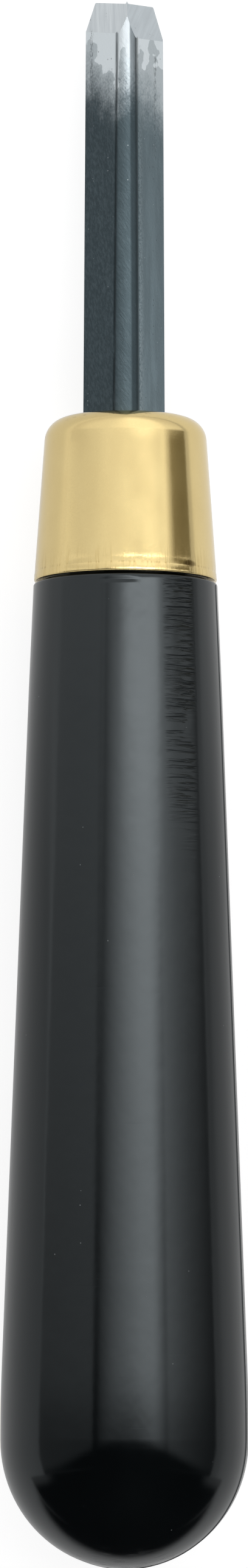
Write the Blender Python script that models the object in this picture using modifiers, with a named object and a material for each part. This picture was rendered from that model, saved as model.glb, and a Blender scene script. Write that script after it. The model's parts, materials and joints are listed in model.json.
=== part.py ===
"""Lino cutting tool: a V-gouge blade, wedged into a moulded handle under a drawn brass ferrule.

The tool is modelled upright, butt at the origin, cutting edge up, keel of the V towards -Y. An empty then
lays it on its side, as it comes to rest on a bench, with the keel up and the cutting edge towards +Y.
"""

from math import asin, atan, atan2, cos, pi, radians, sin, tan

import bmesh
import bpy
from mathutils import Matrix, Vector

MM = 0.001

# Handle
BUTT_RADIUS = 12.0 * MM
GRIP_LENGTH = 95.8 * MM  # butt end to the ferrule's rim
SHOULDER_STEP = 0.05 * MM  # how far the handle stands proud of the rim
SHOULDER_ROUND = 0.6 * MM

# Ferrule
FERRULE_LENGTH = 16.0 * MM
RIM_RADIUS = 8.95 * MM
CROWN_RADIUS = 7.8 * MM  # where the flank would meet the crown, before rounding
CROWN_ROUND = 2.25 * MM
FERRULE_WALL = 0.8 * MM
RIM_ROUND = 0.3 * MM

# Blade
V_ANGLE = radians(75)
SHEET = 0.9 * MM
WING = 4.5 * MM  # flat of each wing, from the keel to its edge
KEEL_HEIGHT = 2.0 * MM  # keel above the tool's axis
KEEL_RADIUS_TIP = 1.26 * MM
KEEL_RADIUS_TANG = 2.0 * MM
KEEL_WEB = 1.05 * MM  # keel radius less the radius of the valley inside it
BLADE_REACH = 41.0 * MM  # crown of the ferrule to the cutting edge
TANG_LENGTH = 34.0 * MM  # crown of the ferrule to the inner end
BEVEL_LENGTH = 3.3 * MM

# Wedge
WEDGE_LENGTH = 28.0 * MM
WEDGE_NOSE = 0.6 * MM
WEDGE_TAPER = 0.5 * MM  # how much thinner the inner end is

# Fits
FIT = 0.3 * MM  # gap between pieces that seat on each other
LEAST_ROUND = 0.1 * MM

# Fineness of round surfaces
TURN_STEPS = 32
CORNER_STEPS = 5
BUTT_STEPS = 9
KEEL_STEPS = 10

# Worked out from the sizes above
SHOULDER_RADIUS = RIM_RADIUS + SHOULDER_STEP
RIM_Z = GRIP_LENGTH
SEAT_Z = RIM_Z - FIT  # the handle's shoulder, under the rim
CROWN_Z = RIM_Z + FERRULE_LENGTH
EDGE_Z = CROWN_Z + BLADE_REACH
TANG_Z = CROWN_Z - TANG_LENGTH
HALF_V = V_ANGLE / 2
FLANK_ANGLE = atan((RIM_RADIUS - CROWN_RADIUS) / FERRULE_LENGTH)


def clear_scene():
    for obj in list(bpy.data.objects):
        bpy.data.objects.remove(obj, do_unlink=True)


def new_collection(name):
    collection = bpy.data.collections.new(name)
    bpy.context.scene.collection.children.link(collection)
    return collection


def new_material(name, colour, roughness, metallic):
    material = bpy.data.materials.new(name)
    material.use_nodes = True
    shader = material.node_tree.nodes["Principled BSDF"]
    shader.inputs["Base Color"].default_value = (*colour, 1.0)
    shader.inputs["Roughness"].default_value = roughness
    shader.inputs["Metallic"].default_value = metallic
    material.diffuse_color = (*colour, 1.0)
    return material


def new_object(name, mesh, collection, parent, material=None):
    obj = bpy.data.objects.new(name, mesh)
    collection.objects.link(obj)
    obj.parent = parent
    if material:
        mesh.materials.append(material)
    return obj


def make_cutter(obj):
    obj.hide_render = True
    obj.display_type = "WIRE"
    return obj


def cut(obj, cutter):
    modifier = obj.modifiers.new("cut_" + cutter.name, "BOOLEAN")
    modifier.operation = "DIFFERENCE"
    modifier.solver = "EXACT"
    modifier.object = cutter


# Outlines

def arc(centre, radius, start, end, steps):
    """Points of an arc, by angle from the outline's first axis."""
    turn = (end - start) / steps
    angles = [start + turn * i for i in range(steps + 1)]
    return [(centre[0] + radius * cos(a), centre[1] + radius * sin(a)) for a in angles]


def rounded_corner(before, corner, after, radius):
    """The corner of two straight edges, as the arc that rounds it off."""
    corner = Vector(corner)
    back = (Vector(before) - corner).normalized()
    ahead = (Vector(after) - corner).normalized()
    half = back.angle(ahead) / 2
    centre = corner + (back + ahead).normalized() * radius / sin(half)
    first = corner + back * radius / tan(half) - centre
    last = corner + ahead * radius / tan(half) - centre
    start = atan2(first.y, first.x)
    sweep = (atan2(last.y, last.x) - start + pi) % (2 * pi) - pi
    return arc(centre, radius, start, start + sweep, CORNER_STEPS)


def turned(name, profile, collection, parent, material):
    """A solid of revolution about Z, from its outline as (radius, height) points, top to bottom."""
    mesh = bpy.data.meshes.new(name)
    points = [(r, 0, z) for r, z in profile]
    mesh.from_pydata(points, [(i, i + 1) for i in range(len(points) - 1)], [])
    obj = new_object(name, mesh, collection, parent, material)
    screw = obj.modifiers.new("turn", "SCREW")
    screw.axis = "Z"
    screw.angle = 2 * pi
    screw.steps = TURN_STEPS
    screw.render_steps = TURN_STEPS
    screw.use_merge_vertices = True
    screw.merge_threshold = 0.01 * MM
    screw.use_smooth_shade = True
    # A flat, not a corner, lies under the tool at rest.
    obj.rotation_euler.z = pi / TURN_STEPS
    return obj


def lofted(name, low, high, collection, parent, material=None):
    """A closed solid between two outlines, each (height, [(across, towards the keel), ...])."""
    bm = bmesh.new()
    rings = [[bm.verts.new((x, -n, z)) for x, n in outline] for z, outline in (low, high)]
    count = len(rings[0])
    for i in range(count):
        j = (i + 1) % count
        bm.faces.new((rings[0][i], rings[0][j], rings[1][j], rings[1][i]))
    for ring in rings:
        bm.faces.new(ring)
    bmesh.ops.recalc_face_normals(bm, faces=bm.faces)
    mesh = bpy.data.meshes.new(name)
    bm.to_mesh(mesh)
    bm.free()
    mesh.shade_smooth()
    mesh.set_sharp_from_angle(angle=radians(30))
    return new_object(name, mesh, collection, parent, material)


# Sections of the blade and of what fits it, in a plane across the tool

def keel_radius(z):
    share = (z - TANG_Z) / (EDGE_Z - TANG_Z)
    return KEEL_RADIUS_TANG + (KEEL_RADIUS_TIP - KEEL_RADIUS_TANG) * share


def mirrored(right):
    """An outline from its right half, which runs outwards from the middle of the keel."""
    return [(-x, n) for x, n in right[:0:-1]] + right


def keel_arc(radius, centre_height):
    """Right half of a rounded keel, from its middle to where it meets the wing."""
    return arc((0, centre_height), radius, pi / 2, HALF_V, KEEL_STEPS)


def wing_corner(z, along, inwards):
    """A point of the right wing: along past its edge, inwards from its outer face."""
    radius = keel_radius(z)
    out = radius - inwards
    length = WING + along
    x = out * cos(HALF_V) + length * sin(HALF_V)
    n = KEEL_HEIGHT - radius + out * sin(HALF_V) - length * cos(HALF_V)
    return x, n


def blade_section(z):
    radius = keel_radius(z)
    valley = radius - KEEL_WEB
    keel_centre = KEEL_HEIGHT - radius
    valley_centre = keel_centre + (KEEL_WEB - SHEET) / sin(HALF_V)
    outside = mirrored(keel_arc(radius, keel_centre) + [wing_corner(z, 0, 0)])
    inside = mirrored(keel_arc(valley, valley_centre) + [wing_corner(z, 0, SHEET)])
    return outside + inside[::-1]


def socket_section(z):
    radius = keel_radius(z)
    right = keel_arc(radius + FIT, KEEL_HEIGHT - radius)
    right.append(wing_corner(z, FIT, -FIT))
    right.append(wing_corner(z, FIT, SHEET + FIT))
    return mirrored(right)


def wedge_section(z, thinner):
    radius = keel_radius(z)
    face = radius - SHEET - FIT  # its sides, from the keel's centre
    centre = KEEL_HEIGHT - radius
    nose_centre = centre + (face - WEDGE_NOSE) / sin(HALF_V)
    floor = wing_corner(z, FIT, SHEET + FIT)[1] + FIT + thinner
    right = keel_arc(WEDGE_NOSE, nose_centre)
    right.append(((face - (floor - centre) * sin(HALF_V)) / cos(HALF_V), floor))
    return mirrored(right)


# Profiles of the ferrule and the neck inside it

def cup_profile(inset, end_z):
    """The ferrule's outside, or a surface this far inside it, from the axis down to end_z."""
    def flank(z):
        return RIM_RADIUS - inset / cos(FLANK_ANGLE) - (z - RIM_Z) * tan(FLANK_ANGLE)

    top = CROWN_Z - inset
    middle = (0, top)
    end = (flank(end_z), end_z)
    corner = rounded_corner(middle, (flank(top), top), end, max(CROWN_ROUND - inset, LEAST_ROUND))
    return [middle] + corner + [end]


def ferrule_profile():
    outside = cup_profile(0, RIM_Z)
    inside = cup_profile(FERRULE_WALL, RIM_Z)
    rim = rounded_corner(outside[-2], outside[-1], inside[-1], RIM_ROUND)
    return outside[:-1] + rim + inside[::-1]


def handle_lean():
    """The angle at which the handle's side, tangent to the ball of the butt, leans from its axis."""
    reach = Vector((SHOULDER_RADIUS, SEAT_Z - BUTT_RADIUS))
    return asin(BUTT_RADIUS / reach.length) - atan2(reach.x, reach.y)


def handle_profile():
    neck = cup_profile(FERRULE_WALL + FIT, SEAT_Z)
    butt = arc((0, BUTT_RADIUS), BUTT_RADIUS, handle_lean(), -pi / 2, BUTT_STEPS)
    edge = rounded_corner(neck[-1], (SHOULDER_RADIUS, SEAT_Z), butt[0], SHOULDER_ROUND)
    return neck + edge + butt[:-1] + [(0, 0)]


# Pieces

def make_handle(parts, tool, socket):
    black = new_material("black_plastic", (0.012, 0.013, 0.014), 0.18, 0.0)
    handle = turned("handle", handle_profile(), parts, tool, black)
    cut(handle, socket)
    return handle


def make_ferrule(parts, tool, socket):
    brass = new_material("brass", (0.80, 0.62, 0.30), 0.30, 1.0)
    ferrule = turned("ferrule", ferrule_profile(), parts, tool, brass)
    cut(ferrule, socket)
    return ferrule


def make_blade(parts, cutters, tool):
    steel = new_material("blued_steel", (0.20, 0.23, 0.25), 0.38, 1.0)
    overlong = EDGE_Z + BEVEL_LENGTH
    low = (TANG_Z, blade_section(TANG_Z))
    high = (overlong, blade_section(overlong))
    blade = lofted("blade", low, high, parts, tool, steel)
    for side, name in ((-1, "left_bevel"), (1, "right_bevel")):
        cut(blade, bevel_cutter(name, side, cutters, tool))
    return blade


def bevel_cutter(name, side, cutters, tool):
    """A block whose underside is one ground bevel, from the inner face at the cutting edge back."""
    outward = Vector((side * cos(HALF_V), -sin(HALF_V), 0))
    bevel = atan(SHEET / BEVEL_LENGTH)
    up = outward * cos(bevel) + Vector((0, 0, sin(bevel)))
    across = outward.cross((0, 0, 1))
    along = up.cross(across)
    x, n = wing_corner(EDGE_Z, 0, SHEET)
    edge = Vector((side * x, -n, EDGE_Z))
    size = 4 * (WING + BEVEL_LENGTH)
    bm = bmesh.new()
    bmesh.ops.create_cube(bm, size=size)
    turn = Matrix((across, along, up)).transposed().to_4x4()
    place = Matrix.Translation(edge + up * size / 2)
    bmesh.ops.transform(bm, matrix=place @ turn, verts=bm.verts)
    bmesh.ops.recalc_face_normals(bm, faces=bm.faces)
    mesh = bpy.data.meshes.new(name)
    bm.to_mesh(mesh)
    bm.free()
    return make_cutter(new_object(name, mesh, cutters, tool))


def make_socket(cutters, tool):
    """The hole for tang and wedge, through the ferrule's crown and down into the neck."""
    bottom = TANG_Z - FIT
    top = CROWN_Z + FERRULE_WALL
    low = (bottom, socket_section(bottom))
    high = (top, socket_section(top))
    return make_cutter(lofted("socket", low, high, cutters, tool))


def make_wedge(parts, tool):
    beech = new_material("beech", (0.56, 0.40, 0.24), 0.6, 0.0)
    bottom = CROWN_Z - WEDGE_LENGTH
    low = (bottom, wedge_section(bottom, WEDGE_TAPER))
    high = (CROWN_Z, wedge_section(CROWN_Z, 0))
    return lofted("tang_wedge", low, high, parts, tool, beech)


def lay_down(tool, parts):
    """Turns the tool onto the side of its handle, with the middle of its underside at the origin."""
    flat_lean = atan(tan(handle_lean()) * cos(pi / TURN_STEPS))
    tool.rotation_euler.x = -(pi / 2 + flat_lean)
    bpy.context.view_layer.update()
    graph = bpy.context.evaluated_depsgraph_get()
    corners = []
    for obj in parts.objects:
        if obj == tool:
            continue
        piece = obj.evaluated_get(graph)
        mesh = piece.to_mesh()
        corners += [piece.matrix_world @ v.co for v in mesh.vertices]
        piece.to_mesh_clear()
    low = Vector([min(c[i] for c in corners) for i in range(3)])
    high = Vector([max(c[i] for c in corners) for i in range(3)])
    tool.location = -Vector(((low.x + high.x) / 2, (low.y + high.y) / 2, low.z))
    bpy.context.view_layer.update()


def main():
    clear_scene()
    parts = new_collection("lino_cutting_tool")
    cutters = new_collection("cutters")
    tool = bpy.data.objects.new("tool_axis", None)
    parts.objects.link(tool)
    socket = make_socket(cutters, tool)
    make_handle(parts, tool, socket)
    make_ferrule(parts, tool, socket)
    make_blade(parts, cutters, tool)
    make_wedge(parts, tool)
    lay_down(tool, parts)
    above_keel = (KEEL_HEIGHT + FIT + CROWN_RADIUS - CROWN_ROUND) / 2
    crown = tool.matrix_world @ Vector((0, -above_keel, CROWN_Z))
    axis = tool.matrix_world.to_3x3() @ Vector((0, 0, 1))
    print("crown seat", [round(v, 6) for v in crown], "axis", [round(v, 6) for v in axis])


main()
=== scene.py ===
import json
import math

import bmesh
import bpy
from mathutils import Matrix, Vector


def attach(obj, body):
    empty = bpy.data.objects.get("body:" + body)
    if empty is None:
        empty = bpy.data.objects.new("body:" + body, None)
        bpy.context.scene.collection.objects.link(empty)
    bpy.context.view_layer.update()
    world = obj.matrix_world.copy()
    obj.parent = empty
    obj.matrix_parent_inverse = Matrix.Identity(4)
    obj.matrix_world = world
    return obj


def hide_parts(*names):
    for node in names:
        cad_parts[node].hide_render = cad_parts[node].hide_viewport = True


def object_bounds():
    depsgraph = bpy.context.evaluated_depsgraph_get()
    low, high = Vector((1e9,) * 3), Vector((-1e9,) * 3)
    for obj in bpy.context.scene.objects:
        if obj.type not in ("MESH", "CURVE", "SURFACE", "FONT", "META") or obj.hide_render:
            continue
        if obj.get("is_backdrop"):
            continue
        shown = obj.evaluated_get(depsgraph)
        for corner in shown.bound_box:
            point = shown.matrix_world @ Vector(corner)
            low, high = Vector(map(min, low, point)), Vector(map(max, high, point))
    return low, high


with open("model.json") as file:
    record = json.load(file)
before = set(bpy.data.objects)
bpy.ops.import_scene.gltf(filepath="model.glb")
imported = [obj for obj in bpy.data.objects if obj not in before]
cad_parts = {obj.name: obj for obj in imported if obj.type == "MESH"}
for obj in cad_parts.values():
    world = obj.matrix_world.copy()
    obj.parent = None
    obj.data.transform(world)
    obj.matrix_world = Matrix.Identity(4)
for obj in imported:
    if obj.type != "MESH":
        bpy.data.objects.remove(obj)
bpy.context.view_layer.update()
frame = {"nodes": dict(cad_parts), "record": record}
print("frame loaded:", ", ".join(sorted(frame["nodes"])))

mm = 0.001
seedSize = 0.01  # a plane this small starts each line
weldGap = 0.001
touching = 1e-5

# the tool's own axes, read from the seat on the ferrule's crown
toolPlace = {
    "crown": 111.8,  # butt to crown, along the axis
    "seatAboveAxis": 3.925,  # the seat's point, from the axis towards the keel
}
crownSeat = frame["record"]["mounts"][0]
toolAxis = Vector(crownSeat["axis"])
sideways = Vector((1, 0, 0))
keelSide = sideways.cross(toolAxis)
buttPoint = (Vector(crownSeat["pos_m"]) - keelSide * toolPlace["seatAboveAxis"] * mm
             - toolAxis * toolPlace["crown"] * mm)
toolTurn = (-math.pi / 2 - math.atan2(-toolAxis.z, toolAxis.y), 0, 0)


# modelling helpers: pieces are drawn upright in millimetres, butt at the origin, keel towards -Y

def startPiece(name):
    bpy.ops.object.select_all(action="DESELECT")
    bpy.ops.mesh.primitive_plane_add(size=seedSize)
    piece = bpy.context.object
    piece.name = name
    piece.data.name = name
    bpy.ops.object.mode_set(mode="EDIT")
    bpy.ops.mesh.select_mode(type="VERT")
    bpy.ops.mesh.delete(type="VERT")
    return piece


def selectOnly(piece):
    bpy.ops.object.select_all(action="DESELECT")
    bpy.context.view_layer.objects.active = piece
    piece.select_set(True)


def pick(piece, kind, test):  # selects in edit mode, by place or normal
    bpy.ops.mesh.select_mode(type=kind)
    bpy.ops.mesh.select_all(action="DESELECT")
    shape = bmesh.from_edit_mesh(piece.data)
    things = {"VERT": shape.verts, "EDGE": shape.edges, "FACE": shape.faces}[kind]
    found = [thing for thing in things if test(thing)]
    for thing in found:
        thing.select_set(True)
    bmesh.update_edit_mesh(piece.data)
    return len(found)


def drawLine(points):  # one vertex, pulled out from point to point
    bpy.ops.mesh.primitive_plane_add(size=seedSize, location=points[0])
    bpy.ops.mesh.merge(type="CENTER")
    here = Vector(points[0])
    for point in points[1:]:
        step = Vector(point) - here
        bpy.ops.mesh.extrude_region_move(TRANSFORM_OT_translate={"value": step})
        here = Vector(point)


def drawLoop(piece, points):
    drawLine(points)
    ends = (Vector(points[0]), Vector(points[-1]))
    pick(piece, "VERT", lambda v: min((v.co - end).length for end in ends) < touching)
    bpy.ops.mesh.edge_face_add()


def tidyShell():
    bpy.ops.mesh.select_all(action="SELECT")
    bpy.ops.mesh.remove_doubles(threshold=weldGap)
    bpy.ops.mesh.normals_make_consistent(inside=False)


def soften(width, segments=2):  # bevels the picked edges
    bpy.ops.mesh.bevel(offset=width, segments=segments, profile=0.5, affect="EDGES")


def trimPast(point, normal):  # cuts off what lies past a plane and closes the cut
    bpy.ops.mesh.select_all(action="SELECT")
    bpy.ops.mesh.bisect(plane_co=point, plane_no=normal, use_fill=True, clear_outer=True,
                        threshold=touching)


def turnOnLathe(profile, azimuth, sides):  # profile is (radius, height) points
    across = Vector((math.sin(azimuth), -math.cos(azimuth), 0))
    drawLine([across * r + Vector((0, 0, z)) for r, z in profile])
    bpy.ops.mesh.select_all(action="SELECT")
    bpy.ops.mesh.spin(steps=sides, angle=2 * math.pi, center=(0, 0, 0), axis=(0, 0, 1))
    tidyShell()


def loft(piece, lowHeight, lowOutline, highHeight, highOutline, cuts=0):
    for height, outline in ((lowHeight, lowOutline), (highHeight, highOutline)):
        drawLoop(piece, [(x, -n, height) for x, n in outline])
    bpy.ops.mesh.select_mode(type="EDGE")
    bpy.ops.mesh.select_all(action="SELECT")
    bpy.ops.mesh.bridge_edge_loops(number_cuts=cuts, interpolation="LINEAR")
    bpy.ops.mesh.select_all(action="SELECT")
    bpy.ops.mesh.fill_holes(sides=0)
    tidyShell()


def cutAway(piece, cutter):
    selectOnly(piece)
    cut = piece.modifiers.new("cut", "BOOLEAN")
    cut.operation = "DIFFERENCE"
    cut.solver = "EXACT"
    cut.object = cutter
    bpy.ops.object.modifier_apply(modifier=cut.name)
    bpy.data.objects.remove(cutter, do_unlink=True)


def layOnBench(piece, material, node, sharpAngle):
    selectOnly(piece)
    piece.scale = (mm, mm, mm)
    piece.rotation_euler = toolTurn
    piece.location = buttPoint
    bpy.ops.object.transform_apply(location=True, rotation=True, scale=True)
    bpy.ops.object.shade_smooth_by_angle(angle=math.radians(sharpAngle))
    piece.data.materials.clear()
    piece.data.materials.append(material)
    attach(piece, "root")
    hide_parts(node)
    print("piece done:", piece.name, len(piece.data.polygons), "faces")


def arcPoints(centre, radius, start, end, steps):
    turn = (end - start) / steps
    angles = [start + turn * i for i in range(steps + 1)]
    return [(centre[0] + radius * math.cos(a), centre[1] + radius * math.sin(a)) for a in angles]


def roundedCorner(before, corner, after, radius, steps):
    corner = Vector(corner)
    back = (Vector(before) - corner).normalized()
    ahead = (Vector(after) - corner).normalized()
    half = back.angle(ahead) / 2
    centre = corner + (back + ahead).normalized() * radius / math.sin(half)
    first = corner + back * radius / math.tan(half) - centre
    last = corner + ahead * radius / math.tan(half) - centre
    start = math.atan2(first.y, first.x)
    sweep = (math.atan2(last.y, last.x) - start + math.pi) % (2 * math.pi) - math.pi
    return arcPoints(centre, radius, start, start + sweep, steps)


def ease(value, low, high):
    share = min(max((value - low) / (high - low), 0), 1)
    return share * share * (3 - 2 * share)


# node helpers for the finishes

def addNode(tree, kind, inputs, **settings):
    node = tree.nodes.new(kind)
    for name, value in settings.items():
        setattr(node, name, value)
    for name, value in inputs.items():
        if isinstance(value, bpy.types.NodeSocket):
            tree.links.new(value, node.inputs[name])
        else:
            node.inputs[name].default_value = value
    return node


def calc(tree, operation, first, second=0.0, third=0.0):
    inputs = {0: first, 1: second, 2: third}
    return addNode(tree, "ShaderNodeMath", inputs, operation=operation).outputs[0]


def addUp(tree, total, *marks):  # each mark times its weight, on top of total
    for mark, weight in marks:
        total = calc(tree, "MULTIPLY_ADD", mark, weight, total)
    return total


def both(tree, *masks):
    result = masks[0]
    for mask in masks[1:]:
        result = calc(tree, "MULTIPLY", result, mask)
    return result


def slide(tree, value, low, high, start=0.0, end=1.0, kind="LINEAR"):
    inputs = {"Value": value, "From Min": low, "From Max": high, "To Min": start, "To Max": end}
    return addNode(tree, "ShaderNodeMapRange", inputs, interpolation_type=kind).outputs[0]


def fade(tree, value, low, high, start=0.0, end=1.0):  # smooth step from start to end
    return slide(tree, value, low, high, start, end, "SMOOTHSTEP")


def fadeOut(tree, value, low, high):
    return fade(tree, value, low, high, 1.0, 0.0)


def band(tree, value, low, high, soft):  # 1 between low and high, soft at both ends
    rise = fade(tree, value, low - soft, low + soft)
    return both(tree, rise, fadeOut(tree, value, high - soft, high + soft))


def blend(tree, share, first, second):
    mix = addNode(tree, "ShaderNodeMix", {"Factor": share}, data_type="RGBA")
    for socket, value in ((mix.inputs[6], first), (mix.inputs[7], second)):
        if isinstance(value, bpy.types.NodeSocket):
            tree.links.new(value, socket)
        else:
            socket.default_value = (*value, 1)
    return mix.outputs[2]


def paint(tree, colour, *layers):  # each layer is a mask, its strength and its colour
    for mask, strength, tint in layers:
        colour = blend(tree, calc(tree, "MULTIPLY", mask, strength), colour, tint)
    return colour


def grain(tree, coords, stretch, detail=2.0, roughness=0.5):  # stretch is waves per millimetre
    stretched = addNode(tree, "ShaderNodeVectorMath", {0: coords, 1: stretch}, operation="MULTIPLY")
    inputs = {"Vector": stretched.outputs[0], "Scale": 1.0, "Detail": detail, "Roughness": roughness}
    return addNode(tree, "ShaderNodeTexNoise", inputs).outputs["Fac"]


def peaks(tree, coords, stretch, detail, roughness, low, high):  # only the grain's crests, as marks
    return fade(tree, grain(tree, coords, stretch, detail, roughness), low, high)


def patterns(tree, coords, make, finish, *names):  # make is grain or peaks, once for each name
    return [make(tree, coords, *finish[name]) for name in names]


def specks(tree, coords, perMillimetre, radius, share):  # scattered dots, on a share of the cells
    inputs = {"Vector": coords, "Scale": perMillimetre, "Randomness": 1.0}
    cells = addNode(tree, "ShaderNodeTexVoronoi", inputs)
    chosen = addNode(tree, "ShaderNodeSeparateColor", {"Color": cells.outputs["Color"]})
    size = both(tree, chosen.outputs["Green"], radius * perMillimetre)
    dot = calc(tree, "LESS_THAN", cells.outputs["Distance"], size)
    return both(tree, dot, calc(tree, "LESS_THAN", chosen.outputs["Red"], share))


def slanted(tree, coords, degrees):  # the place turned about the line of sight on the keel
    inputs = {"Vector": coords, "Axis": (0, 1, 0), "Angle": math.radians(degrees)}
    return addNode(tree, "ShaderNodeVectorRotate", inputs).outputs[0]


def toolCoords(tree):  # the piece's own place on the tool, in millimetres
    place = addNode(tree, "ShaderNodeTexCoord", {})
    inputs = {"Vector": place.outputs["Object"], "Location": buttPoint, "Rotation": toolTurn,
              "Scale": (mm, mm, mm)}
    coords = addNode(tree, "ShaderNodeMapping", inputs, vector_type="TEXTURE").outputs[0]
    split = addNode(tree, "ShaderNodeSeparateXYZ", {"Vector": coords})
    return coords, split.outputs["X"], split.outputs["Y"], split.outputs["Z"]


def newFinish(name):
    material = bpy.data.materials.new(name)
    material.use_nodes = True
    tree = material.node_tree
    return material, tree, tree.nodes["Principled BSDF"]


def finishSurface(tree, shader, colour, roughness, height):  # height is in millimetres
    bump = addNode(tree, "ShaderNodeBump", {"Height": height, "Distance": mm, "Strength": 1.0})
    tree.links.new(colour, shader.inputs["Base Color"])
    tree.links.new(roughness, shader.inputs["Roughness"])
    tree.links.new(bump.outputs["Normal"], shader.inputs["Normal"])


# the blade's V section, shared by the blade, its slot and its wedge

blade = {
    "halfAngle": math.radians(37.5),
    "sheet": 0.9,
    "tangWing": 4.6,
    "tipWing": 4.83,
    "keelHeight": 2.0,
    "tipKeelRadius": 1.15,
    "tangKeelRadius": 1.8,
    "keelWeb": 1.05,
    "leastValley": 0.06,  # the inner radius of the fold, at least
    "edge": 153.0,
    "tang": 77.8,
    "taperLength": 75.0,  # from the tang's end the section changes evenly over this length
    "crease": (0.13, 0.05, 0.30),  # its bottom along the wing, its depth, and where the flat begins
    "edgeSoftening": 0.08,
    "crestTurn": math.radians(20),  # the keel is broad on top to this angle, with tighter flanks below
    "crestShare": 1.7,
    "leftBevel": 3.05,
    "rightBevel": 3.5,
    "leftRake": 0.90,  # how far the cutting edge comes forward at the wing's end
    "rightRake": 0.52,
    "cornerRound": 0.32,
    "tipTrim": 0.40,  # how much shorter the wings are ground at the edge itself
    "cornerTurns": (7.5, 20, 40, 60, 80),  # planes that trim and round each corner, in degrees
    "spareLength": 18.0,  # both bevels are cut from a longer blank
    "arrisLength": 1.0,  # an edge of the blank's long arrises is longer than this
    "facetFit": (0.999, 0.01),  # a ground face lies this square to its plane, and this near it
    "slotPastCrown": 1.0,  # the slot's cutter runs out of the crown
    "keelSteps": 14,
    "lengthCuts": 10,
    "sharpAngle": 12,
}


def alongBlade(height, tang, tip):
    return tang + (tip - tang) * (height - blade["tang"]) / blade["taperLength"]


def keelRadius(height):
    return alongBlade(height, blade["tangKeelRadius"], blade["tipKeelRadius"])


def wingLength(height):
    return alongBlade(height, blade["tangWing"], blade["tipWing"])


def wingPoint(height, along, inwards):  # along the right wing from the keel, inwards from its outer face
    radius = keelRadius(height)
    out = radius - inwards
    cosine, sine = math.cos(blade["halfAngle"]), math.sin(blade["halfAngle"])
    return out * cosine + along * sine, blade["keelHeight"] - radius + out * sine - along * cosine


def mirrored(right):  # the same points on the left, from the last to the first
    return [(-x, n) for x, n in right[::-1]]


def bothHalves(right):  # the first point lies in the middle and comes once
    return mirrored(right[1:]) + right


def keelArc(radius, centreHeight):
    return arcPoints((0, centreHeight), radius, math.pi / 2, blade["halfAngle"], blade["keelSteps"])


def keelCurve(height, gap=0.0):  # the keel's outside from the left wing to the right one
    radius = keelRadius(height)
    turn, foot = blade["crestTurn"], math.pi / 2 - blade["halfAngle"]
    crest = radius * blade["crestShare"]
    flank = (radius * math.sin(foot) - crest * math.sin(turn)) / (math.sin(foot) - math.sin(turn))
    flankX = (radius - flank) * math.sin(foot)
    flankN = blade["keelHeight"] - radius + (radius - flank) * math.cos(foot)
    crestN = flankN + (flank - crest) * math.cos(turn)
    upright = math.pi / 2
    right = arcPoints((flankX, flankN), flank + gap, upright - turn, upright - foot,
                      blade["keelSteps"] // 2)
    top = arcPoints((0, crestN), crest + gap, upright + turn, upright - turn, blade["keelSteps"])
    return mirrored(right) + top[1:-1] + right


def bladeSection(height):
    radius = keelRadius(height)
    half = blade["halfAngle"]
    creaseAt, creaseDepth, flatAt = blade["crease"]
    wing = [wingPoint(height, creaseAt, creaseDepth), wingPoint(height, flatAt, 0),
            wingPoint(height, wingLength(height), 0)]
    outside = mirrored(wing) + keelCurve(height) + wing
    innerRadius = max(radius - blade["keelWeb"], blade["leastValley"])
    valley = blade["keelHeight"] - radius + (radius - blade["sheet"] - innerRadius) / math.sin(half)
    inside = keelArc(innerRadius, valley)
    inside.append(wingPoint(height, wingLength(height), blade["sheet"]))
    return outside + bothHalves(inside)[::-1]


def slotSection(height, gap):
    ends = [wingPoint(height, wingLength(height) + gap, -gap),
            wingPoint(height, wingLength(height) + gap, blade["sheet"] + gap)]
    return mirrored(ends) + keelCurve(height, gap) + ends


def cutSlot(piece, low, gap):
    high = ferrule["crown"] + blade["slotPastCrown"]
    cutter = startPiece("slotCutter")
    loft(cutter, low, slotSection(low, gap), high, slotSection(high, gap))
    bpy.ops.object.mode_set(mode="OBJECT")
    cutAway(piece, cutter)


# the ferrule's form, which the handle's neck follows inside

ferrule = {
    "rim": 95.74,
    "crown": toolPlace["crown"],
    "rimRadius": 8.95,
    "crownRadius": 7.8,
    "flankFoot": 95.8,  # the rim's radius is meant at this height
    "flankLength": 16.0,
    "crownRound": 2.25,
    "leastRound": 0.4,  # of the crown's inside
    "wall": 0.8,
    "rimRound": 0.16,
    "bandHeight": 0.75,  # the crimped band above the rim
    "bandFoot": 0.35,
    "grooveEdge": 0.1,  # half the step from the band into the groove
    "grooveDepth": 0.025,
    "grooveHeight": 0.7,
    "aboveGroove": 0.4,  # the flank's steps end this far above the groove
    "crimpDepth": 0.014,
    "crimpReach": 0.15,
    "crimpSkin": 0.4,  # only the outside of the wall is pinched
    "crimpSeed": 4,
    "slotGap": 0.12,
    "slotDepth": 4.0,
    "sides": 128,
    "cornerSteps": 12,
    "flankSteps": 10,
    "rimSteps": 6,
    "sharpAngle": 35,
}
flankLean = (ferrule["rimRadius"] - ferrule["crownRadius"]) / ferrule["flankLength"]


def flankRadius(height, inset=0.0):
    return ferrule["rimRadius"] - inset - (height - ferrule["flankFoot"]) * flankLean


def cupProfile(inset, end):  # from the middle of the crown, down the side to end
    top = ferrule["crown"] - inset
    corner = (flankRadius(top, inset), top)
    rounding = max(ferrule["crownRound"] - inset, ferrule["leastRound"])
    return [(0, top)] + roundedCorner((0, top), corner, (flankRadius(end, inset), end), rounding,
                                      ferrule["cornerSteps"])


# handle

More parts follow.
